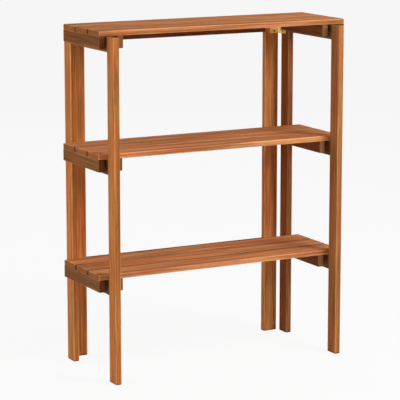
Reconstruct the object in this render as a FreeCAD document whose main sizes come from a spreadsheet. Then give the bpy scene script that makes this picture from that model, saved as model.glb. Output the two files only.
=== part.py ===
import FreeCAD, Part
import math
import os
import re
import Sketcher

# Folding three-tier plant stand in oiled hardwood, in millimetres.
#
# Two ladder-like side frames hang on brass butt hinges from a back frame, and three loose
# slatted shelves drop over their rails. Each shelf end has an outer and an inner batten
# that straddle the side rail, so a seated shelf locks the side frames open.
#
# Frame: +X to the right, +Y to the back, +Z up. The origin is on the floor, midway between
# the front faces of the legs and the back faces of the posts, and midway along the shelves.

DRIVING_SIZES = [
    ("leg_length", 985, "legs and back posts, floor to top"),
    ("leg_width", 44, "leg section, front to back"),
    ("leg_thick", 18, "leg and side rail section, left to right"),
    ("leg_bay", 244, "clear depth between a front and a rear leg"),
    ("frame_span", 744, "between the outer faces of the side frames"),
    ("hinge_gap", 8, "from the rear legs back to the posts"),
    ("post_width", 46, "back post, left to right"),
    ("post_thick", 19, "back post and back rail, front to back"),
    ("post_inset", 5, "from a leg's inner face to the post's outer edge"),
    ("tier_pitch", 344, "from one shelf down to the next"),
    ("side_rail_height", 44, "side rail section, upright"),
    ("back_rail_height", 46, "back rail section, upright, the posts' own stock"),
    ("seat_gap", 0.2, "play between a slat and the side rail under it"),
    ("slat_length", 794, "slats, end to end"),
    ("slat_width", 75, "slats, front to back"),
    ("slat_gap", 7.5, "between two slats"),
    ("slat_thick", 15, "slats, upright"),
    ("batten_thick", 18, "battens, left to right"),
    ("batten_height", 35, "battens, upright"),
    ("batten_space", 38, "clear space between outer and inner batten"),
    ("top_shift", 3, "top shelf, off centre to the right"),
    ("middle_shift", -2, "middle shelf, off centre to the right"),
    ("bottom_shift", -3, "bottom shelf, off centre to the right"),
    ("frame_round", 3, "rounded edges of legs, posts and rails"),
    ("batten_round", 1.5, "rounded edges of the battens"),
    ("slat_round", 2.5, "rounded edges of the slats"),
    ("dowel_radius", 4, "beech dowels in the rail ends"),
    ("dowel_length", 40, "beech dowels, end to end"),
    ("dowel_pitch", 20, "between the two dowels of a rail end"),
    ("dowel_bevel", 0.7, "bevelled ends of the dowels"),
    ("bore_ease", 0.1, "a wooden bore's radius over its dowel's or screw's"),
    ("bore_reach", 20.5, "depth of a dowel bore"),
    ("shelf_screw_radius", 2, "screws from the battens up into the slats"),
    ("shelf_screw_length", 42, "the same screws, over all"),
    ("shelf_screw_head", 4, "the same screws, head radius"),
    ("shelf_screw_sink", 5, "depth of the counterbores that take their flat heads"),
    ("counterbore_radius", 4.6, "the same counterbores"),
    ("hinge_height", 50, "butt hinges, along the pin"),
    ("hinge_drop", 25.5, "from a tier's height down to the hinge's middle"),
    ("leaf_width", 32, "hinge leaf, pin axis to free edge"),
    ("leaf_thick", 1.6, "hinge leaf"),
    ("leaf_offset", 3.3, "from the pin axis to the faces that carry the leaves"),
    ("barrel_radius", 3, "hinge knuckles, outside"),
    ("pin_radius", 1.5, "hinge pin"),
    ("pin_bevel", 0.4, "bevelled ends of the pin"),
    ("pin_ease", 0.05, "a knuckle's bore over the pin, in radius"),
    ("knuckle_count", 5, "knuckles of one hinge"),
    ("knuckle_ease", 0.3, "play between two knuckles"),
    ("barrel_ease", 0.5, "between a leaf and the other leaf's knuckles"),
    ("leaf_screw_radius", 1.5, "hinge screws"),
    ("leaf_screw_length", 16, "hinge screws, over all"),
    ("leaf_screw_head", 3.2, "hinge screws, head radius"),
    ("leaf_screw_pitch", 18, "between two hinge screws, upright"),
    ("leaf_screw_line", 16, "from the pin axis to the outer hinge screws"),
    ("leaf_screw_stagger", 6, "the middle hinge screw, further out"),
]

ALIASES = {alias for alias, value, meaning in DRIVING_SIZES}

# Heights at which the slats' undersides lie, from the top tier down.
TIER_HEIGHTS = {
    "top": "leg_length",
    "middle": "leg_length - tier_pitch",
    "bottom": "leg_length - 2 * tier_pitch",
}

# Places that several pieces share, as expressions of the driving sizes.
OVERALL_DEPTH = "(2 * leg_width + leg_bay + hinge_gap + post_thick)"
FRONT_LEG_FACE = f"(-{OVERALL_DEPTH} / 2)"
REAR_LEG_FACE = f"({FRONT_LEG_FACE} + leg_width + leg_bay)"
POST_FACE = f"({OVERALL_DEPTH} / 2 - post_thick)"
LEG_INNER_FACE = "(frame_span / 2 - leg_thick)"
POST_OUTER_EDGE = f"({LEG_INNER_FACE} - post_inset)"
POST_INNER_EDGE = f"({POST_OUTER_EDGE} - post_width)"
SHELF_DEPTH = "(3 * slat_width + 2 * slat_gap)"
SHELF_FRONT = f"({FRONT_LEG_FACE} + leg_width + (leg_bay - {SHELF_DEPTH}) / 2)"
HINGE_AXIS_X = f"({LEG_INNER_FACE} - leaf_offset)"
HINGE_AXIS_Y = f"({POST_FACE} - leaf_offset)"
UPPER_HINGE_MIDDLE = "(leg_length - hinge_drop)"
LOWER_HINGE_MIDDLE = "(leg_length - 2 * tier_pitch - hinge_drop)"
HINGE_MIDDLES = {"upper": UPPER_HINGE_MIDDLE, "lower": LOWER_HINGE_MIDDLE}

# Height of a shelf screw's flat head above the lower face of its batten.
SHELF_SCREW_FOOT = "(shelf_screw_sink - shelf_screw_head + shelf_screw_radius)"

# A screw's cross slot, as shares of its head's radius and of its head's height.
SLOT_LENGTH = 1.2
SLOT_WIDTH = 0.25
SLOT_DEPTH = 0.8

# A screw's point, as a multiple of its shank's radius.
POINT_LENGTH = 2

# The origin plane square to each axis, and the way its sketches face along that axis.
PLANES = {"x": ("YZ_Plane", 1), "y": ("XZ_Plane", -1), "z": ("XY_Plane", 1)}

# Each side's name, and the sign of its x.
SIDES = (("left", -1), ("right", 1))

# An edge counts as level below this rise, and as along an axis above this share of its length.
LEVEL_RISE = 0.01
ALONG_SHARE = 0.99

# The least volume that a cut has to take away, in cubic millimetres.
LEAST_CUT = 1

doc = FreeCAD.newDocument("plant_stand")
sheet = doc.addObject("Spreadsheet::Sheet", "Sizes")
pieces = []


def fill_sheet():
    """Put each driving size in a cell of its own, under its alias."""
    for row, (alias, value, meaning) in enumerate(DRIVING_SIZES, start=1):
        sheet.set(f"A{row}", meaning)
        sheet.set(f"B{row}", str(value))
        sheet.setAlias(f"B{row}", alias)
    doc.recompute()


def sized(text):
    """The expression, with each alias read from the sheet."""
    def read(match):
        word = match.group(0)
        return f"Sizes.{word}" if word in ALIASES else word
    return re.sub(r"[a-z_]+", read, text)


def number(text):
    """What an expression of the driving sizes comes to, in millimetres."""
    return float(sheet.evalExpression(sized(text)))


def bind(thing, name, text):
    """Bind one of an object's values to an expression of the driving sizes."""
    thing.setExpression(name, sized(text))


def place(thing, corner):
    """Bind an object's place to expressions for x, y and z."""
    for axis, text in zip("xyz", corner):
        bind(thing, f"Placement.Base.{axis}", text)


def keep(thing, label):
    """List an object as a finished sub-part."""
    thing.Label = label
    pieces.append(thing)
    return thing


def new_body(label):
    """An empty body for one sub-part."""
    return doc.addObject("PartDesign::Body", f"{label}_body")


def new_sketch(body, axis, offset="0"):
    """A sketch square to an axis, at an offset along it."""
    role, facing = PLANES[axis]
    sketch = body.newObject("Sketcher::SketchObject", "Sketch")
    plane = [item for item in body.Origin.OriginFeatures if item.Role == role][0]
    sketch.AttachmentSupport = [(plane, "")]
    sketch.MapMode = "FlatFace"
    bind(sketch, "AttachmentOffset.Base.z", f"{facing} * ({offset})")
    return sketch


def draw_rectangle(sketch, low, high):
    """A rectangle between two corners, each a pair of expressions."""
    corners = [(0, 0), (1, 0), (1, 1), (0, 1)]
    for first, second in zip(corners, corners[1:] + corners[:1]):
        start = FreeCAD.Vector(first[0], first[1], 0)
        end = FreeCAD.Vector(second[0], second[1], 0)
        sketch.addGeometry(Part.LineSegment(start, end))
    for side in range(4):
        sketch.addConstraint(Sketcher.Constraint("Coincident", side, 2, (side + 1) % 4, 1))
    for side, way in enumerate(("Horizontal", "Vertical", "Horizontal", "Vertical")):
        sketch.addConstraint(Sketcher.Constraint(way, side))
    for line, corner, name in ((0, low, "low"), (2, high, "high")):
        for way, text in zip(("DistanceX", "DistanceY"), corner):
            hold(sketch, way, line, 1, f"{name}{way[-1]}", text)


def hold(sketch, way, geometry, point, name, text):
    """Hold a point at a signed distance from the sketch's origin."""
    place_now = number(text)
    index = sketch.addConstraint(Sketcher.Constraint(way, -1, 1, geometry, point, place_now))
    sketch.renameConstraint(index, name)
    bind(sketch, f"Constraints.{name}", text)


def draw_circle(sketch, centre, radius):
    """A circle whose centre and radius are expressions."""
    middle = FreeCAD.Vector(number(centre[0]), number(centre[1]), 0)
    upright = FreeCAD.Vector(0, 0, 1)
    circle = sketch.addGeometry(Part.Circle(middle, upright, number(radius)))
    for way, text in zip(("DistanceX", "DistanceY"), centre):
        hold(sketch, way, circle, 3, f"centre{way[-1]}{circle}", text)
    index = sketch.addConstraint(Sketcher.Constraint("Radius", circle, number(radius)))
    sketch.renameConstraint(index, f"radius{circle}")
    bind(sketch, f"Constraints.radius{circle}", radius)


def pad(body, sketch, length, forward):
    """Thicken a sketch along its own normal, or against it."""
    feature = body.newObject("PartDesign::Pad", "Pad")
    feature.Profile = sketch
    feature.Reversed = not forward
    bind(feature, "Length", length)
    doc.recompute()
    return feature


def pocket(body, sketch, length, forward):
    """Cut a sketch's outline out of the body, and see that it cuts."""
    before = body.Shape.Volume
    feature = body.newObject("PartDesign::Pocket", "Pocket")
    feature.Profile = sketch
    feature.Reversed = forward
    bind(feature, "Length", length)
    doc.recompute()
    if body.Shape.Volume > before - LEAST_CUT:
        raise RuntimeError(f"a cut in {body.Name} removes nothing")
    return feature


def round_edges(body, radius, axis=None):
    """Round the body's edges: all of them, or those along one axis."""
    base = body.Tip
    names = []
    for index, edge in enumerate(base.Shape.Edges, start=1):
        run = edge.Vertexes[1].Point - edge.Vertexes[0].Point
        if axis is None or abs(getattr(run, axis)) > ALONG_SHARE * edge.Length:
            names.append(f"Edge{index}")
    feature = body.newObject("PartDesign::Fillet", "Fillet")
    feature.Base = (base, names)
    bind(feature, "Radius", radius)
    doc.recompute()
    return feature


def level_edges(shape):
    """Names and edges of a shape that lie square to Z."""
    return {f"Edge{index}": edge for index, edge in enumerate(shape.Edges, start=1)
            if edge.BoundBox.ZLength < LEVEL_RISE}


def make_board(label, grain, size, corner, radius, ends_too):
    """A planed board: its section padded along the grain, with rounded edges."""
    body = new_body(label)
    across = [axis for axis in "xyz" if axis != grain]
    sketch = new_sketch(body, grain)
    section = [size["xyz".index(axis)] for axis in across]
    draw_rectangle(sketch, ("0", "0"), section)
    facing = PLANES[grain][1]
    pad(body, sketch, size["xyz".index(grain)], facing > 0)
    round_edges(body, radius, None if ends_too else grain)
    place(body, corner)
    return keep(body, label)


def drill(body, axis, face, points, radius, depth, way):
    """Round blind holes along an axis, from a face, towards + or -."""
    sketch = new_sketch(body, axis, face)
    for point in points:
        draw_circle(sketch, point, radius)
    facing = PLANES[axis][1]
    pocket(body, sketch, depth, way * facing > 0)


def dowel_pair(rail_height):
    """Heights of a rail end's two dowels above the rail's lower edge."""
    return [f"({rail_height} / 2 + {side} * dowel_pitch / 2)" for side in (-1, 1)]


def side_rail_foot(tier):
    """Height of a side rail's lower edge."""
    return f"({TIER_HEIGHTS[tier]} - seat_gap - side_rail_height)"


def back_rail_foot(tier):
    """Height of a back rail's lower edge."""
    return f"({TIER_HEIGHTS[tier]} - back_rail_height)"


def leaf_screw_places():
    """Each hinge screw of a leaf: how far from the pin axis, and how high."""
    outer = "leaf_screw_line"
    middle = "(leaf_screw_line + leaf_screw_stagger)"
    return [(outer, "(-leaf_screw_pitch)"), (middle, "(0)"), (outer, "leaf_screw_pitch")]


def leaf_pilot_depth():
    """Depth of a hinge screw's pilot hole in the wood behind the leaf."""
    return "(leaf_screw_length - leaf_thick + bore_ease)"


def make_back_post(side, sign):
    """A back post, with bores for the back rails and pilots for the hinges."""
    left_edge = POST_INNER_EDGE if sign > 0 else f"(-{POST_OUTER_EDGE})"
    size = ("post_width", "post_thick", "leg_length")
    post = make_board(f"{side}_back_post", "z", size, (left_edge, POST_FACE, "0"),
                      "frame_round", True)
    bores = []
    for tier in TIER_HEIGHTS:
        for height in dowel_pair("back_rail_height"):
            bores.append(("post_thick / 2", f"{back_rail_foot(tier)} + {height}"))
    rail_side = "0" if sign > 0 else "post_width"
    drill(post, "x", rail_side, bores, "dowel_radius + bore_ease", "bore_reach", sign)
    pilots = []
    for middle in HINGE_MIDDLES.values():
        for reach, height in leaf_screw_places():
            across = f"{sign} * ({HINGE_AXIS_X} - {reach}) - {left_edge}"
            pilots.append((across, f"{middle} + {height}"))
    drill(post, "y", "0", pilots, "leaf_screw_radius + bore_ease", leaf_pilot_depth(), 1)


def make_back_rail(tier):
    """A back rail between the posts, bored at both ends."""
    length = f"(2 * {POST_INNER_EDGE})"
    size = (length, "post_thick", "back_rail_height")
    corner = (f"(-{POST_INNER_EDGE})", POST_FACE, back_rail_foot(tier))
    rail = make_board(f"{tier}_back_rail", "x", size, corner, "frame_round", False)
    bores = [("post_thick / 2", height) for height in dowel_pair("back_rail_height")]
    drill(rail, "x", "0", bores, "dowel_radius + bore_ease", "bore_reach", 1)
    drill(rail, "x", length, bores, "dowel_radius + bore_ease", "bore_reach", -1)


def make_leg(side, sign, depth_name):
    """A leg of a side frame, bored for the side rails."""
    left_face = LEG_INNER_FACE if sign > 0 else "(-frame_span / 2)"
    is_front = depth_name == "front"
    front_face = FRONT_LEG_FACE if is_front else REAR_LEG_FACE
    size = ("leg_thick", "leg_width", "leg_length")
    leg = make_board(f"{depth_name}_{side}_leg", "z", size, (left_face, front_face, "0"),
                     "frame_round", True)
    bores = []
    for tier in TIER_HEIGHTS:
        for height in dowel_pair("side_rail_height"):
            bores.append(("leg_thick / 2", f"{side_rail_foot(tier)} + {height}"))
    rail_face, way = ("leg_width", -1) if is_front else ("0", 1)
    drill(leg, "y", rail_face, bores, "dowel_radius + bore_ease", "bore_reach", way)
    if is_front:
        return
    pilots = []
    for middle in HINGE_MIDDLES.values():
        for reach, height in leaf_screw_places():
            pilots.append((f"{HINGE_AXIS_Y} - {reach} - {front_face}", f"{middle} + {height}"))
    inner_face = "0" if sign > 0 else "leg_thick"
    drill(leg, "x", inner_face, pilots, "leaf_screw_radius + bore_ease",
          leaf_pilot_depth(), sign)


def make_side_rail(side, sign, tier):
    """A side rail between the legs, which a shelf rests on."""
    left_face = LEG_INNER_FACE if sign > 0 else "(-frame_span / 2)"
    size = ("leg_thick", "leg_bay", "side_rail_height")
    corner = (left_face, f"{FRONT_LEG_FACE} + leg_width", side_rail_foot(tier))
    rail = make_board(f"{tier}_{side}_rail", "y", size, corner, "frame_round", False)
    bores = [("leg_thick / 2", height) for height in dowel_pair("side_rail_height")]
    drill(rail, "y", "0", bores, "dowel_radius + bore_ease", "bore_reach", 1)
    drill(rail, "y", "leg_bay", bores, "dowel_radius + bore_ease", "bore_reach", -1)


def batten_faces():
    """Left faces of a shelf's four battens, measured from the shelf's left end."""
    return {
        "left_outer": "0",
        "left_inner": "(batten_thick + batten_space)",
        "right_inner": "(slat_length - 2 * batten_thick - batten_space)",
        "right_outer": "(slat_length - batten_thick)",
    }


def slat_fronts():
    """Front edges of a shelf's three slats, measured from the shelf's front."""
    names = ("front", "centre", "rear")
    return {name: f"({step} * (slat_width + slat_gap))" for step, name in enumerate(names)}


def make_shelf(tier):
    """A loose shelf: three slats screwed from below to four cross battens."""
    left_end = f"({tier}_shift - slat_length / 2)"
    underside = TIER_HEIGHTS[tier]
    screw_columns = [f"({face} + batten_thick / 2)" for face in batten_faces().values()]
    screw_rows = [f"({front} + slat_width / 2)" for front in slat_fronts().values()]
    bite = f"({SHELF_SCREW_FOOT} + shelf_screw_length - batten_height + bore_ease)"
    for name, front in slat_fronts().items():
        corner = (left_end, f"{SHELF_FRONT} + {front}", underside)
        slat = make_board(f"{tier}_{name}_slat", "x", ("slat_length", "slat_width", "slat_thick"),
                          corner, "slat_round", True)
        points = [(column, "slat_width / 2") for column in screw_columns]
        drill(slat, "z", "0", points, "shelf_screw_radius + bore_ease", bite, 1)
    for name, face in batten_faces().items():
        corner = (f"{left_end} + {face}", SHELF_FRONT, f"{underside} - batten_height")
        batten = make_board(f"{tier}_{name}_batten", "y",
                            ("batten_thick", SHELF_DEPTH, "batten_height"),
                            corner, "batten_round", True)
        points = [("batten_thick / 2", row) for row in screw_rows]
        drill(batten, "z", "0", points, "shelf_screw_radius + bore_ease", "batten_height", 1)
        drill(batten, "z", "0", points, "counterbore_radius", "shelf_screw_sink", 1)
    foot = number(f"{underside} - batten_height + {SHELF_SCREW_FOOT}")
    spots = []
    for column in screw_columns:
        for row in screw_rows:
            spots.append(FreeCAD.Vector(number(f"{left_end} + {column}"),
                                        number(f"{SHELF_FRONT} + {row}"), foot))
    screw = turned_screw("shelf_screw", True)
    repeat_piece(f"{tier}_shelf_screws", screw, spots, FreeCAD.Rotation())


def draw_leaf_section(sketch):
    """A leaf seen along the pin: a flat plate that rolls into a barrel round the axis."""
    radius = number("barrel_radius")
    outer_face = number("leaf_offset")
    inner_face = number("leaf_offset - leaf_thick")
    free_edge = -number("leaf_width")
    meeting = -math.sqrt(radius ** 2 - inner_face ** 2)
    outline = [(meeting, inner_face), (free_edge, inner_face), (free_edge, outer_face),
               (-number("leaf_thick"), outer_face), (0, radius)]
    points = [FreeCAD.Vector(across, up, 0) for across, up in outline]
    for start, end in zip(points, points[1:]):
        sketch.addGeometry(Part.LineSegment(start, end))
    circle = Part.Circle(FreeCAD.Vector(0, 0, 0), FreeCAD.Vector(0, 0, 1), radius)
    start_angle = math.atan2(inner_face, meeting)
    top_angle = math.pi / 2 + 2 * math.pi
    barrel = sketch.addGeometry(Part.ArcOfCircle(circle, start_angle, top_angle))
    for line in (0, 1, 2):
        sketch.addConstraint(Sketcher.Constraint("Coincident", line, 2, line + 1, 1))
    sketch.addConstraint(Sketcher.Constraint("Coincident", 0, 1, barrel, 1))
    sketch.addConstraint(Sketcher.Constraint("Coincident", 3, 2, barrel, 2))
    sketch.addConstraint(Sketcher.Constraint("Coincident", barrel, 3, -1, 1))
    for line, way in ((0, "Horizontal"), (1, "Vertical"), (2, "Horizontal")):
        sketch.addConstraint(Sketcher.Constraint(way, line))
    hold(sketch, "DistanceX", 1, 1, "free_edge", "-leaf_width")
    hold(sketch, "DistanceY", 1, 1, "inner_face", "leaf_offset - leaf_thick")
    hold(sketch, "DistanceY", 2, 2, "outer_face", "leaf_offset")
    hold(sketch, "DistanceX", 2, 2, "bend", "-leaf_thick")
    hold(sketch, "DistanceX", 3, 2, "barrel_top_across", "0")
    hold(sketch, "DistanceY", 3, 2, "barrel_top", "barrel_radius")


def make_leaf(label, own_knuckles, turn, spot):
    """A hinge leaf with its share of the knuckles, and countersunk for its screws."""
    body = new_body(label)
    section = new_sketch(body, "z", "-hinge_height / 2")
    draw_leaf_section(section)
    pad(body, section, "hinge_height", True)
    step = "(hinge_height / knuckle_count)"
    count = round(number("knuckle_count"))
    for index in range(count):
        if index in own_knuckles:
            continue
        below = "0" if index == 0 else "knuckle_ease / 2"
        above = "0" if index == count - 1 else "knuckle_ease / 2"
        foot = f"-hinge_height / 2 + {index} * {step} - {below}"
        window = new_sketch(body, "z", foot)
        reach = "(barrel_radius + barrel_ease)"
        draw_rectangle(window, (f"-{reach}", f"-{reach}"), (reach, reach))
        pocket(body, window, f"{step} + {below} + {above}", True)
    bore = new_sketch(body, "z", "-hinge_height / 2")
    draw_circle(bore, ("0", "0"), "pin_radius + pin_ease")
    pocket(body, bore, "hinge_height", True)
    sinks = []
    for reach, height in leaf_screw_places():
        sink = doc.addObject("Part::Cone", "Countersink")
        bind(sink, "Radius1", "leaf_screw_head + bore_ease")
        bind(sink, "Radius2", "leaf_screw_head - leaf_thick + bore_ease")
        bind(sink, "Height", "leaf_thick")
        sink.Placement.Rotation = FreeCAD.Rotation(FreeCAD.Vector(1, 0, 0), -90)
        place(sink, (f"-{reach}", "leaf_offset - leaf_thick", height))
        sinks.append(sink)
    tools = doc.addObject("Part::MultiFuse", "Countersinks")
    tools.Shapes = sinks
    leaf = doc.addObject("Part::Cut", "Leaf")
    leaf.Base = body
    leaf.Tool = tools
    leaf.Placement.Rotation = turn
    place(leaf, spot)
    return keep(leaf, label)


def make_pin(label, spot):
    """A hinge pin with bevelled ends."""
    body = new_body(label)
    sketch = new_sketch(body, "z", "-hinge_height / 2")
    draw_circle(sketch, ("0", "0"), "pin_radius")
    shaft = pad(body, sketch, "hinge_height", True)
    bevel = body.newObject("PartDesign::Chamfer", "Chamfer")
    bevel.Base = (shaft, list(level_edges(shaft.Shape)))
    bind(bevel, "Size", "pin_bevel")
    doc.recompute()
    place(body, spot)
    return keep(body, label)


def turned_screw(prefix, flat_head):
    """One cross-slotted screw, its head at the origin and its point up +Z."""
    shank = number(f"{prefix}_radius")
    length = number(f"{prefix}_length")
    head_radius = number(f"{prefix}_head")
    head = head_radius - shank
    point = POINT_LENGTH * shank
    underside = [(head_radius, head)] if flat_head else []
    outline = [(0, 0), (head_radius, 0), *underside, (shank, head)]
    outline += [(shank, length - point), (0, length)]
    corners = [FreeCAD.Vector(across, 0, along) for across, along in outline]
    face = Part.Face(Part.makePolygon(corners + corners[:1]))
    screw = face.revolve(FreeCAD.Vector(0, 0, 0), FreeCAD.Vector(0, 0, 1), 360)
    slot_long = SLOT_LENGTH * head_radius
    slot_wide = SLOT_WIDTH * head_radius
    for long, wide in ((slot_long, slot_wide), (slot_wide, slot_long)):
        low = FreeCAD.Vector(-long / 2, -wide / 2, 0)
        screw = screw.cut(Part.makeBox(long, wide, SLOT_DEPTH * head, low))
    return screw


def repeat_piece(label, shape, spots, turn):
    """Identical separate fasteners, one at each spot, as one sub-part."""
    copies = []
    for spot in spots:
        copy = shape.copy()
        copy.Placement = FreeCAD.Placement(spot, turn)
        copies.append(copy)
    group = doc.addObject("Part::Feature", label)
    group.Shape = Part.makeCompound(copies)
    group.Placement = FreeCAD.Placement()
    return keep(group, label)


def make_dowels(label, axis, spots):
    """Bevelled beech dowels along an axis, centred on the spots."""
    radius = number("dowel_radius")
    length = number("dowel_length")
    dowel = Part.makeCylinder(radius, length, FreeCAD.Vector(0, 0, -length / 2))
    dowel = dowel.makeChamfer(number("dowel_bevel"), list(level_edges(dowel).values()))
    turn = FreeCAD.Rotation(FreeCAD.Vector(0, 0, 1), axis)
    return repeat_piece(label, dowel, spots, turn)


def back_dowel_spots():
    """Middles of the dowels that join the back rails to the posts."""
    spots = []
    for tier in TIER_HEIGHTS:
        for sign in (-1, 1):
            for height in dowel_pair("back_rail_height"):
                spots.append(FreeCAD.Vector(sign * number(POST_INNER_EDGE),
                                            number(f"{POST_FACE} + post_thick / 2"),
                                            number(f"{back_rail_foot(tier)} + {height}")))
    return spots


def side_dowel_spots(sign):
    """Middles of the dowels that join one side's rails to its legs."""
    spots = []
    for tier in TIER_HEIGHTS:
        for joint_face in (f"{FRONT_LEG_FACE} + leg_width", REAR_LEG_FACE):
            for height in dowel_pair("side_rail_height"):
                spots.append(FreeCAD.Vector(sign * number("(frame_span - leg_thick) / 2"),
                                            number(joint_face),
                                            number(f"{side_rail_foot(tier)} + {height}")))
    return spots


def make_hinges(side, sign):
    """The upper and lower butt hinge of one side, with their screws."""
    count = round(number("knuckle_count"))
    post_knuckles = range(0, count, 2)
    leg_knuckles = range(1, count, 2)
    upside = FreeCAD.Rotation(FreeCAD.Vector(0, 1, 0), 0 if sign > 0 else 180)
    flip = FreeCAD.Rotation(FreeCAD.Vector(1, 0, 0), 180)
    quarter = FreeCAD.Rotation(FreeCAD.Vector(0, 0, 1), 90)
    onto_leg = upside.multiply(quarter.multiply(flip))
    post_spots, leg_spots = [], []
    for name, middle in HINGE_MIDDLES.items():
        spot = (f"{sign} * {HINGE_AXIS_X}", HINGE_AXIS_Y, middle)
        make_leaf(f"{name}_{side}_post_leaf", post_knuckles, upside, spot)
        make_leaf(f"{name}_{side}_leg_leaf", leg_knuckles, onto_leg, spot)
        make_pin(f"{name}_{side}_hinge_pin", spot)
        for reach, height in leaf_screw_places():
            level = number(f"{middle} + {height}")
            post_spots.append(FreeCAD.Vector(sign * number(f"{HINGE_AXIS_X} - {reach}"),
                                             number(f"{POST_FACE} - leaf_thick"), level))
            leg_spots.append(FreeCAD.Vector(sign * number(f"{LEG_INNER_FACE} - leaf_thick"),
                                            number(f"{HINGE_AXIS_Y} - {reach}"), level))
    screw = turned_screw("leaf_screw", False)
    into_post = FreeCAD.Rotation(FreeCAD.Vector(0, 0, 1), FreeCAD.Vector(0, 1, 0))
    into_leg = FreeCAD.Rotation(FreeCAD.Vector(0, 0, 1), FreeCAD.Vector(sign, 0, 0))
    repeat_piece(f"{side}_post_leaf_screws", screw, post_spots, into_post)
    repeat_piece(f"{side}_leg_leaf_screws", screw, leg_spots, into_leg)


def check_document():
    """Stop if any object failed, or any sub-part is empty or invalid."""
    for thing in doc.Objects:
        if "Invalid" in thing.State or "Error" in thing.State:
            raise RuntimeError(f"{thing.Name} failed: {thing.State}")
    for piece in pieces:
        if piece.Shape.isNull() or not piece.Shape.isValid():
            raise RuntimeError(f"{piece.Label} has no valid shape")


def write_pieces():
    """Write each sub-part to a file of its own."""
    os.makedirs("parts", exist_ok=True)
    for piece in pieces:
        piece.Shape.exportStep(os.path.join("parts", f"{piece.Label}.step"))


fill_sheet()
for side, sign in SIDES:
    make_back_post(side, sign)
for tier in TIER_HEIGHTS:
    make_back_rail(tier)
make_dowels("back_rail_dowels", FreeCAD.Vector(1, 0, 0), back_dowel_spots())
for side, sign in SIDES:
    make_leg(side, sign, "front")
    make_leg(side, sign, "rear")
    for tier in TIER_HEIGHTS:
        make_side_rail(side, sign, tier)
    make_dowels(f"{side}_rail_dowels", FreeCAD.Vector(0, 1, 0), side_dowel_spots(sign))
    make_hinges(side, sign)
for tier in TIER_HEIGHTS:
    make_shelf(tier)
doc.recompute()
check_document()
write_pieces()
print(f"{len(pieces)} sub-parts written")
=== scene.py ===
"""Looks of the folding three-tier plant stand: oiled hardwood, brass hinges and their brass
screws, and steel shelf screws.

Every piece is a CAD node. Each board gets its own solid wood grain, which runs along the board
and shows its rings on the ends, so no two boards look alike.
"""

import math
import random

import bpy
from mathutils import Matrix, Vector


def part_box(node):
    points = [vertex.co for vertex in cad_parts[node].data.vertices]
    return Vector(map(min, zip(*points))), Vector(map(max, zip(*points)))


PHOTO_PIXELS = 400
SENSOR_MM = 36.0

# The camera's place in metres, its heading from +Y towards +X, how far it looks down, and its focal
# length in the photograph's pixels.
CAMERA_PLACE = (-2.6926, -5.0428, 1.5448)
CAMERA_YAW = math.radians(28.028)
CAMERA_PITCH = math.radians(10.634)
FOCAL_PIXELS = 1972.55

# The floor: its side in metres, its two whites, their clouds per metre, and its dull shine.
FLOOR_SIZE = 60.0
FLOOR_WHITES = ((0.88, 0.88, 0.88), (0.92, 0.92, 0.92))
FLOOR_CLOUDS = 3.0
FLOOR_FADE = (0.3, 0.7)
FLOOR_ROUGHNESS = 0.85
FLOOR_SPECULAR = 0.1

# How much plain white the camera sees in the floor, and how strongly the backdrop lights the stand.
FLOOR_WHITE_SHARE = 0.9
AMBIENT = 0.20

# Soft square lights: name, place in metres, side in metres, watts, colour, whether they light
# matt surfaces, and whether glossy ones mirror them. The edge glint is there for the shine of
# polished edges and metal.
WHITE = (1.0, 1.0, 1.0)
WARM = (1.0, 0.66, 0.42)
LIGHTS = (
    ("key", (1.38, -2.2, 1.85), 0.8, 29.0, WHITE, True, True),
    ("upper_front", (1.1, -2.2, 3.1), 0.9, 29.0, WHITE, True, True),
    ("left_fill", (-2.3, 0.12, 1.0), 0.8, 17.5, WHITE, True, True),
    ("edge_glint", (-2.6, -1.4, 1.3), 0.6, 120.0, WARM, False, True),
    ("right_fill", (2.0, -0.5, 1.45), 0.8, 7.0, WHITE, True, False),
    ("top_fill", (0.0, 0.2, 3.6), 2.5, 7.0, WHITE, True, False),
    ("back_fill", (0.9, 4.0, 2.8), 2.5, 26.0, WHITE, True, False),
)
LIGHTS_AIM = (0.0, 0.0, 0.5)

TIERS = ("top", "middle", "bottom")
SIDES = ("left", "right")


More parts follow.
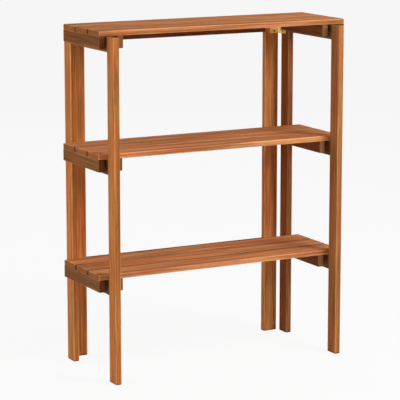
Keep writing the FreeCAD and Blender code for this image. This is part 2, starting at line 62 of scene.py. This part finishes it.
class Graph:
    """A material's nodes, with short ways to add and join them."""

    def __init__(self, name):
        self.material = bpy.data.materials.new(name)
        self.material.use_nodes = True
        self.tree = self.material.node_tree
        self.tree.nodes.clear()
        self.shader = self.node("ShaderNodeBsdfPrincipled")
        self.output = self.node("ShaderNodeOutputMaterial")
        self.tree.links.new(self.shader.outputs["BSDF"], self.output.inputs["Surface"])

    def node(self, kind, **settings):
        made = self.tree.nodes.new(kind)
        for name, value in settings.items():
            setattr(made, name, value)
        return made

    def feed(self, socket, value):
        """Join an output to a socket, or set the socket to a plain value."""
        if isinstance(value, bpy.types.NodeSocket):
            self.tree.links.new(value, socket)
        else:
            socket.default_value = value

    def maths(self, operation, *values, clamp=False):
        made = self.node("ShaderNodeMath", operation=operation, use_clamp=clamp)
        for socket, value in zip(made.inputs, values):
            self.feed(socket, value)
        return made.outputs[0]

    def vector(self, operation, *values):
        made = self.node("ShaderNodeVectorMath", operation=operation)
        for socket, value in zip(made.inputs, values):
            self.feed(socket, value)
        return made.outputs["Value" if operation == "LENGTH" else "Vector"]

    def split(self, vector):
        """A vector's x, y and z."""
        made = self.node("ShaderNodeSeparateXYZ")
        self.feed(made.inputs[0], vector)
        return [made.outputs[axis] for axis in range(3)]

    def place(self):
        """The point in the frame at rest, in metres, which moves with the piece."""
        return self.node("ShaderNodeTexCoord").outputs["Object"]

    def noise(self, vector, scale, detail, roughness=0.5):
        made = self.node("ShaderNodeTexNoise")
        self.feed(made.inputs["Vector"], vector)
        made.inputs["Scale"].default_value = scale
        made.inputs["Detail"].default_value = detail
        made.inputs["Roughness"].default_value = roughness
        return made.outputs["Fac"]

    def spread(self, value, low, high, to_low=0.0, to_high=1.0):
        """Value from low to high, eased into to_low to to_high."""
        made = self.node("ShaderNodeMapRange", interpolation_type="SMOOTHSTEP")
        for socket, number in zip(made.inputs, (value, low, high, to_low, to_high)):
            self.feed(socket, number)
        return made.outputs["Result"]

    def ramp(self, value, stops):
        made = self.node("ShaderNodeValToRGB")
        elements = made.color_ramp.elements
        while len(elements) < len(stops):
            elements.new(0.5)
        for element, (position, colour) in zip(elements, stops):
            element.position = position
            element.color = (*colour, 1.0)
        self.feed(made.inputs["Fac"], value)
        return made.outputs["Color"]

    def mix(self, factor, first, second, blend="MIX"):
        """Mix two colours, each of them an output or three linear values."""
        made = self.node("ShaderNodeMix", data_type="RGBA", blend_type=blend)
        self.feed(made.inputs["Factor"], factor)
        for name, value in (("A", first), ("B", second)):
            socket = [item for item in made.inputs if item.name == name and item.type == "RGBA"][0]
            self.feed(socket, (*value, 1.0) if isinstance(value, tuple) else value)
        return [item for item in made.outputs if item.type == "RGBA"][0]

    def bump(self, height, depth, strength):
        made = self.node("ShaderNodeBump")
        made.inputs["Strength"].default_value = strength
        made.inputs["Distance"].default_value = depth
        self.feed(made.inputs["Height"], height)
        self.feed(self.shader.inputs["Normal"], made.outputs["Normal"])


def linear(red, green, blue):
    """A colour given as 0 to 255 on screen, as linear values."""
    values = []
    for value in (red, green, blue):
        value /= 255
        values.append(value / 12.92 if value <= 0.04045 else ((value + 0.055) / 1.055) ** 2.4)
    return tuple(values)


# Wear and painted highlight, end grain, and painted shade reach this far in from a board's faces,
# in metres.
EDGE_WEAR_AND_HIGHLIGHT = 0.0036
END_GRAIN = 0.0010
GAP_SHADE_REACH = 0.0016
FOOT_SHADE_REACH = 0.006

# Growth rings: from one to the next, how far off the pith lies and how far the rings waver, in
# metres. A board's rings lean by a small factor on the distance along it, and a ring's latewood
# darkens and ends between these shares of the ring.
RING_SPACING = 0.0058
PITH_REACH = (0.05, 0.12)
RING_WAVER = 0.02
RING_LEAN = (0.015, 0.035)
LATEWOOD_RISE = (0.3, 0.93)
LATEWOOD_END = (1.0, 0.94)

# Figures in the wood, each a noise: the factor on the distance along the grain that draws it out,
# then its scale per metre, detail and roughness. Each board has its own part of all but the waver,
# moved by up to FIGURE_SHIFT metres.
FIGURES = {
    "streak": (0.03, 210.0, 4.0, 0.65),
    "band": (0.06, 48.0, 2.0, 0.5),
    "pore": (0.04, 700.0, 2.0, 0.55),
    "blotch": (0.3, 16.0, 2.0, 0.5),
    "rub_and_highlight": (0.3, 90.0, 3.0, 0.5),
    "waver": (0.15, 14.0, 2.0, 0.5),
}
FIGURE_SHIFT = 20.0

# Values of a figure between which it fades in, and the middle of the streaks' range.
PORE_FADE = (0.58, 0.74)
BLOTCH_FADE = (0.36, 0.66)
RUB_AND_HIGHLIGHT_FADE = (0.2, 0.5)
GRAIN_MIDDLE = 0.49

# How much of each shows, from 0 to 1.
LATEWOOD_SHARE = 0.07
PORE_SHARE = 0.30
END_SHARE = 0.9
END_RINGS_SHARE = 0.3
GAP_SHADE_SHARE = 0.85
FOOT_SHADE_SHARE = 0.75

# The wood's dull shine: what streaks and end grain add to its roughness, and its polished edges.
WOOD_ROUGHNESS = 0.46
STREAK_ROUGHNESS = 0.25
END_ROUGHNESS = 0.2
WOOD_SPECULAR = 0.08
EDGE_COAT_ROUGHNESS = 0.45

# The grain's relief: how far streaks stand out and pores lie in, as shares of a depth in metres.
STREAK_HEIGHT = 0.5
PORE_DEPTH = 0.6
GRAIN_DEPTH = 0.0004
GRAIN_STRENGTH = 0.5

# Factors on a board's own colour: from its dark streaks to its light ones, in its red and yellow
# clouds, and on its worn edges, lightened partly by wear and partly as painted highlight. Pores
# and the painted shade have colours of their own.
GRAIN_SHADES = (
    (0.0, (0.68, 0.62, 0.58)),
    (0.45, (0.96, 0.95, 0.94)),
    (1.0, (1.22, 1.27, 1.33)),
)
RED_CAST = (1.03, 0.93, 0.90)
YELLOW_CAST = (0.97, 1.05, 1.02)
WORN_AND_HIGHLIGHT_CAST = (1.55, 1.7, 1.9)
PORE_COLOUR = linear(84, 44, 22)
PAINTED_SHADE_COLOUR = linear(58, 32, 16)

# Boards of one kind differ in brightness between these factors.
BOARD_LEVELS = (0.94, 1.06)


class Plank(Graph):
    """A board's material, which knows where the board lies and which way its grain runs."""

    def __init__(self, node, grain_letter, seed):
        super().__init__(f"wood_{node}")
        self.rng = random.Random(seed)
        self.point = self.place()
        self.low, self.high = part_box(node)
        self.middle = [(a + b) / 2 for a, b in zip(self.low, self.high)]
        self.half = [(b - a) / 2 for a, b in zip(self.low, self.high)]
        self.grain = "xyz".index(grain_letter)
        self.across = [axis for axis in range(3) if axis != self.grain]

    def offset(self):
        """How far a point lies from the board's middle along each axis, in metres."""
        return self.split(self.vector("ABSOLUTE", self.vector("SUBTRACT", self.point, self.middle)))

    def drawn_out(self, point, factor):
        """A point with a factor on its distance along the grain."""
        factors = [1.0, 1.0, 1.0]
        factors[self.grain] = factor
        return self.vector("MULTIPLY", point, factors)

    def figure(self, name, point):
        """One of the wood's figures, drawn out along the grain."""
        factor, scale, detail, roughness = FIGURES[name]
        return self.noise(self.drawn_out(point, factor), scale, detail, roughness)

    def own_figure(self, name):
        """A figure from this board's own part of the noise."""
        shift = [self.rng.uniform(-FIGURE_SHIFT, FIGURE_SHIFT) for _ in range(3)]
        return self.figure(name, self.vector("ADD", self.point, shift))

    def growth_rings(self):
        """Dark latewood lines, from 0 to 1, round a pith that lies outside the board."""
        angle = self.rng.uniform(0, 2 * math.pi)
        reach = self.rng.uniform(*PITH_REACH)
        pith = [0.0, 0.0, 0.0]
        for axis, part in zip(self.across, (math.cos(angle), math.sin(angle))):
            pith[axis] = self.middle[axis] + reach * part
        away = self.drawn_out(self.vector("SUBTRACT", self.point, pith),
                              self.rng.uniform(*RING_LEAN))
        waver = self.maths("MULTIPLY", self.figure("waver", self.point), RING_WAVER)
        radius = self.maths("ADD", self.vector("LENGTH", away), waver)
        ring = self.maths("FRACT", self.maths("DIVIDE", radius, RING_SPACING))
        return self.maths("MULTIPLY", self.spread(ring, *LATEWOOD_RISE),
                          self.spread(ring, *LATEWOOD_END))

    def edges(self, offset):
        """How near a point is to the long edges, and to any edge, from 0 to 1."""
        near = [self.spread(offset[axis], self.half[axis] - EDGE_WEAR_AND_HIGHLIGHT, self.half[axis])
                for axis in range(3)]
        first, second = [near[axis] for axis in self.across]
        long_edges = self.maths("MULTIPLY", first, second)
        rim = self.maths("MULTIPLY", near[self.grain], self.maths("ADD", first, second))
        return long_edges, self.maths("ADD", long_edges, rim, clamp=True)

    def end_grain(self, offset):
        """Where the board's two ends are, from 0 to 1."""
        face = self.half[self.grain]
        return self.spread(offset[self.grain], face - END_GRAIN, face - END_GRAIN / 4)


def grain_colour(plank, wood, late):
    """The wood's oiled faces: their colour, and the streaks and pores in it, from 0 to 1."""
    streak = plank.own_figure("streak")
    band = plank.own_figure("band")
    pores = plank.spread(plank.own_figure("pore"), *PORE_FADE)
    blotch = plank.spread(plank.own_figure("blotch"), *BLOTCH_FADE)
    value = plank.maths("ADD", plank.maths("MULTIPLY", streak, 1 - wood["banding"]),
                        plank.maths("MULTIPLY", band, wood["banding"]))
    value = plank.maths("SUBTRACT", value, plank.maths("MULTIPLY", late, LATEWOOD_SHARE))
    contrast = plank.spread(value, GRAIN_MIDDLE - wood["calm"], GRAIN_MIDDLE + wood["calm"])
    colour = plank.mix(1.0, plank.ramp(contrast, GRAIN_SHADES), wood["colour"], "MULTIPLY")
    colour = plank.mix(1.0, colour, plank.mix(blotch, RED_CAST, YELLOW_CAST), "MULTIPLY")
    colour = plank.mix(plank.maths("MULTIPLY", pores, PORE_SHARE), colour, PORE_COLOUR)
    return colour, streak, pores


def gap_faces(node, low, high):
    """A slat's faces towards the gaps: which way each looks along y, and where it lies."""
    faces = []
    if node.endswith(("front_slat", "centre_slat")):
        faces.append((1.0, high[1]))
    if node.endswith(("centre_slat", "rear_slat")):
        faces.append((-1.0, low[1]))
    return faces


def add_painted_shade(plank, node, colour, polish):
    """Painted shade in the gaps between slats, where no edge shines, and at the foot of a post or
    leg.
    """
    depthwise, upright = plank.split(plank.point)[1:]
    for beyond, face in gap_faces(node, plank.low, plank.high):
        # Darkens the slats' faces towards a gap: painted shade.
        depth = plank.maths("MULTIPLY", plank.maths("SUBTRACT", depthwise, face), beyond)
        gap_shade = plank.spread(depth, -GAP_SHADE_REACH, 0.0, to_high=GAP_SHADE_SHARE)
        colour = plank.mix(gap_shade, colour, PAINTED_SHADE_COLOUR)
        polish = plank.maths("MULTIPLY", polish, plank.maths("SUBTRACT", 1.0, gap_shade))
    # Darkens the bottom of a post or leg near the floor: painted contact shade.
    foot = plank.spread(upright, 0.0, FOOT_SHADE_REACH, to_low=FOOT_SHADE_SHARE, to_high=0.0)
    return plank.mix(foot, colour, PAINTED_SHADE_COLOUR), polish


def paint_wood(node, grain_letter, wood, seed):
    """Oiled hardwood: streaks, pores and growth rings along the board, darker grain on its ends."""
    plank = Plank(node, grain_letter, seed)
    offset = plank.offset()
    long_edges, edges = plank.edges(offset)
    end = plank.end_grain(offset)
    late = plank.growth_rings()

    colour, streak, pores = grain_colour(plank, wood, late)
    # Lightens the worn edges, partly as wear and partly as a painted highlight.
    rubbed_and_highlit = plank.maths("MULTIPLY", edges, plank.spread(plank.own_figure("rub_and_highlight"), *RUB_AND_HIGHLIGHT_FADE))
    colour = plank.mix(rubbed_and_highlit, colour, plank.mix(1.0, colour, WORN_AND_HIGHLIGHT_CAST, "MULTIPLY"))
    rings = plank.mix(plank.maths("MULTIPLY", late, END_RINGS_SHARE), wood["end"], PORE_COLOUR)
    colour = plank.mix(plank.maths("MULTIPLY", end, END_SHARE), colour, rings)
    polish = plank.maths("MULTIPLY", long_edges, wood["polish"])
    # Painted shade in the slats' gaps and at the feet.
    colour, polish = add_painted_shade(plank, node, colour, polish)
    level = plank.rng.uniform(*BOARD_LEVELS)
    colour = plank.mix(1.0, colour, (level, level, level), "MULTIPLY")
    plank.feed(plank.shader.inputs["Base Color"], colour)

    rough = plank.maths("ADD", plank.maths("MULTIPLY", streak, STREAK_ROUGHNESS), WOOD_ROUGHNESS)
    rough = plank.maths("ADD", rough, plank.maths("MULTIPLY", end, END_ROUGHNESS))
    plank.feed(plank.shader.inputs["Roughness"], rough)
    plank.shader.inputs["Specular IOR Level"].default_value = WOOD_SPECULAR
    plank.feed(plank.shader.inputs["Coat Weight"], polish)
    plank.shader.inputs["Coat Roughness"].default_value = EDGE_COAT_ROUGHNESS
    height = plank.maths("SUBTRACT", plank.maths("MULTIPLY", streak, STREAK_HEIGHT),
                         plank.maths("MULTIPLY", pores, PORE_DEPTH))
    plank.bump(height, GRAIN_DEPTH, GRAIN_STRENGTH)
    return plank.material


def board(colour, end, banding=0.3, calm=0.15, polish=0.9):
    """A kind of board: its colour, its end grain's, its figure and how its long edges shine."""
    return {"colour": linear(*colour), "end": linear(*end), "banding": banding, "calm": calm,
            "polish": polish}


LEFT_LEG = board((202, 127, 66), (150, 94, 54))
# The left back post is the left legs' wood, lighter partly as painted light where shade falls on
# it.
LEFT_POST = board((216, 139, 76), (150, 94, 54))
RIGHT_LEG = board((188, 121, 69), (140, 86, 48))
# Darker than the front right leg partly as its own tone and partly as painted shade.
REAR_RIGHT_LEG = board((148, 90, 46), (120, 70, 38))
# The right back post is lighter partly as its own tone and partly as painted light where shade
# falls on it.
RIGHT_POST = board((214, 140, 83), (140, 84, 48))
# The rails and back rails are darker partly as their own tone and partly as painted shade under the
# shelves.
RAIL = board((130, 91, 57), (120, 74, 44), polish=0.2)
BACK_RAIL = board((118, 68, 36), (128, 80, 46), polish=0.2)
INNER_BATTEN = board((127, 80, 44), (148, 104, 64), polish=0.2)
OUTER_BATTEN = board((133, 84, 46), (124, 70, 32), polish=0.2)
SLAT = board((213, 139, 87), (148, 90, 48), banding=0.6, calm=0.12)
BEECH = board((214, 178, 130), (200, 162, 116))


# Metal: where the tarnish's clouds fade in and what they add to the roughness, and the rolling
# marks, drawn out upwards, with their scale per metre, where they fade in, how much they show and
# how deep they are, in metres.
TARNISH_FADE = (0.42, 0.75)
TARNISH_ROUGHNESS = 0.18
MARKS_DRAWN_OUT = (1.0, 1.0, 0.06)
MARKS_SCALE = 1400.0
MARKS_FADE = (0.4, 0.7)
MARKS_SHARE = 0.15
MARKS_DEPTH = 0.00005
MARKS_STRENGTH = 0.4


def paint_metal(name, colour, dull, roughness, clouds_scale, tarnish):
    """Stamped or turned metal with fine rolling marks, and a share of tarnish in clouds."""
    graph = Graph(name)
    point = graph.place()
    clouds = graph.noise(point, clouds_scale, detail=3.0)
    marks = graph.noise(graph.vector("MULTIPLY", point, MARKS_DRAWN_OUT), MARKS_SCALE, detail=2.0)
    base = graph.mix(graph.spread(clouds, *TARNISH_FADE, to_high=tarnish), colour, dull)
    base = graph.mix(graph.spread(marks, *MARKS_FADE, to_high=MARKS_SHARE), base, dull)
    graph.feed(graph.shader.inputs["Base Color"], base)
    graph.shader.inputs["Metallic"].default_value = 1.0
    rough = graph.maths("ADD", graph.maths("MULTIPLY", clouds, TARNISH_ROUGHNESS), roughness)
    graph.feed(graph.shader.inputs["Roughness"], rough)
    graph.bump(marks, MARKS_DEPTH, MARKS_STRENGTH)
    return graph.material


def dress(frame, node, material):
    """Give a CAD node its material in every object slot."""
    for slot in frame["nodes"][node].material_slots:
        slot.link = "OBJECT"
        slot.material = material


def wood_pieces():
    """Each wooden node with its grain direction and its wood."""
    pieces = [("left_back_post", "z", LEFT_POST), ("right_back_post", "z", RIGHT_POST),
              ("front_left_leg", "z", LEFT_LEG), ("rear_left_leg", "z", LEFT_LEG),
              ("front_right_leg", "z", RIGHT_LEG), ("rear_right_leg", "z", REAR_RIGHT_LEG),
              ("back_rail_dowels", "x", BEECH)]
    for side in SIDES:
        pieces += [(f"{tier}_{side}_rail", "y", RAIL) for tier in TIERS]
        pieces.append((f"{side}_rail_dowels", "y", BEECH))
    pieces += [(f"{tier}_back_rail", "x", BACK_RAIL) for tier in TIERS]
    for tier in TIERS:
        pieces += [(f"{tier}_{place}_slat", "x", SLAT) for place in ("front", "centre", "rear")]
        for side in SIDES:
            pieces += [(f"{tier}_{side}_inner_batten", "y", INNER_BATTEN),
                       (f"{tier}_{side}_outer_batten", "y", OUTER_BATTEN)]
    return pieces


def dress_wood(frame):
    for seed, (node, grain, wood) in enumerate(wood_pieces(), start=1):
        dress(frame, node, paint_wood(node, grain, wood, seed))


def dress_metal(frame):
    brass = paint_metal("hinge_brass", linear(255, 240, 166), linear(216, 180, 94),
                        roughness=0.46, clouds_scale=160.0, tarnish=0.35)
    screw_brass = paint_metal("screw_brass", linear(92, 72, 40), linear(50, 36, 20),
                              roughness=0.42, clouds_scale=220.0, tarnish=0.6)
    steel = paint_metal("screw_steel", linear(196, 194, 186), linear(120, 116, 108),
                        roughness=0.32, clouds_scale=260.0, tarnish=0.4)
    for side in SIDES:
        for level in ("upper", "lower"):
            for piece in ("post_leaf", "leg_leaf", "hinge_pin"):
                dress(frame, f"{level}_{side}_{piece}", brass)
        for leaf in ("post", "leg"):
            dress(frame, f"{side}_{leaf}_leaf_screws", screw_brass)
    for tier in TIERS:
        dress(frame, f"{tier}_shelf_screws", steel)


def seen_white(tree, lit, share):
    """A shader's light towards the camera, with a share of plain white mixed into it."""
    white = tree.nodes.new("ShaderNodeEmission")
    white.inputs["Color"].default_value = (*WHITE, 1.0)
    ray = tree.nodes.new("ShaderNodeLightPath")
    weight = tree.nodes.new("ShaderNodeMath")
    weight.operation = "MULTIPLY"
    tree.links.new(ray.outputs["Is Camera Ray"], weight.inputs[0])
    weight.inputs[1].default_value = share
    mix = tree.nodes.new("ShaderNodeMixShader")
    tree.links.new(weight.outputs[0], mix.inputs[0])
    tree.links.new(lit, mix.inputs[1])
    tree.links.new(white.outputs[0], mix.inputs[2])
    return mix.outputs[0]


def make_floor():
    """A plain white floor that the stand rests on, with a faint soft shadow."""
    bpy.ops.mesh.primitive_plane_add(size=FLOOR_SIZE, location=(0.0, 0.0, 0.0))
    floor = bpy.context.object
    floor.name = "floor"
    graph = Graph("floor_white")
    clouds = graph.noise(graph.place(), FLOOR_CLOUDS, detail=2.0)
    colour = graph.mix(graph.spread(clouds, *FLOOR_FADE), *FLOOR_WHITES)
    graph.feed(graph.shader.inputs["Base Color"], colour)
    graph.shader.inputs["Roughness"].default_value = FLOOR_ROUGHNESS
    graph.shader.inputs["Specular IOR Level"].default_value = FLOOR_SPECULAR
    seen = seen_white(graph.tree, graph.shader.outputs["BSDF"], FLOOR_WHITE_SHARE)
    graph.tree.links.new(seen, graph.output.inputs["Surface"])
    floor.data.materials.append(graph.material)


def light_world():
    """A white backdrop that lights the stand only softly."""
    world = bpy.data.worlds.new("studio")
    bpy.context.scene.world = world
    world.use_nodes = True
    tree = world.node_tree
    tree.nodes.clear()
    glow = tree.nodes.new("ShaderNodeBackground")
    glow.inputs["Color"].default_value = (*WHITE, 1.0)
    glow.inputs["Strength"].default_value = AMBIENT
    output = tree.nodes.new("ShaderNodeOutputWorld")
    tree.links.new(seen_white(tree, glow.outputs[0], 1.0), output.inputs["Surface"])


def add_panel_light(name, place, size, watts, colour, diffuse, glossy):
    """A square soft light that faces the middle of the stand."""
    lamp = bpy.data.lights.new(name, "AREA")
    lamp.shape = "SQUARE"
    lamp.size = size
    lamp.energy = watts
    lamp.color = colour
    holder = bpy.data.objects.new(name, lamp)
    bpy.context.collection.objects.link(holder)
    holder.location = place
    holder.visible_diffuse = diffuse
    holder.visible_glossy = glossy
    way = Vector(LIGHTS_AIM) - Vector(place)
    holder.rotation_euler = way.to_track_quat("-Z", "Y").to_euler()


def add_camera():
    """A camera at the photograph's viewing angle, with its focal length given in pixels."""
    camera_data = bpy.data.cameras.new("camera")
    camera_data.sensor_fit = "HORIZONTAL"
    camera_data.sensor_width = SENSOR_MM
    camera_data.lens = FOCAL_PIXELS / PHOTO_PIXELS * SENSOR_MM
    camera = bpy.data.objects.new("camera", camera_data)
    bpy.context.collection.objects.link(camera)
    ahead = Vector((math.sin(CAMERA_YAW) * math.cos(CAMERA_PITCH),
                    math.cos(CAMERA_YAW) * math.cos(CAMERA_PITCH),
                    -math.sin(CAMERA_PITCH)))
    camera.matrix_world = (Matrix.Translation(CAMERA_PLACE)
                           @ ahead.to_track_quat("-Z", "Y").to_matrix().to_4x4())
    bpy.context.scene.camera = camera


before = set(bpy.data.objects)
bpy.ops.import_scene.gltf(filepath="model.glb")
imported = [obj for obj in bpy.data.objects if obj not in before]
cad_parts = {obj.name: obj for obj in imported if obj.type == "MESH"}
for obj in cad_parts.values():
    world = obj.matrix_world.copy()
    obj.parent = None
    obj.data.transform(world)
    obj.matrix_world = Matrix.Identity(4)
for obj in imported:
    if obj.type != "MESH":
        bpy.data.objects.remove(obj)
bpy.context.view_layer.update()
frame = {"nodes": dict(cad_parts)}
dress_wood(frame)
dress_metal(frame)
make_floor()
light_world()
for light in LIGHTS:
    add_panel_light(*light)
add_camera()
bpy.context.scene.view_settings.view_transform = "Standard"
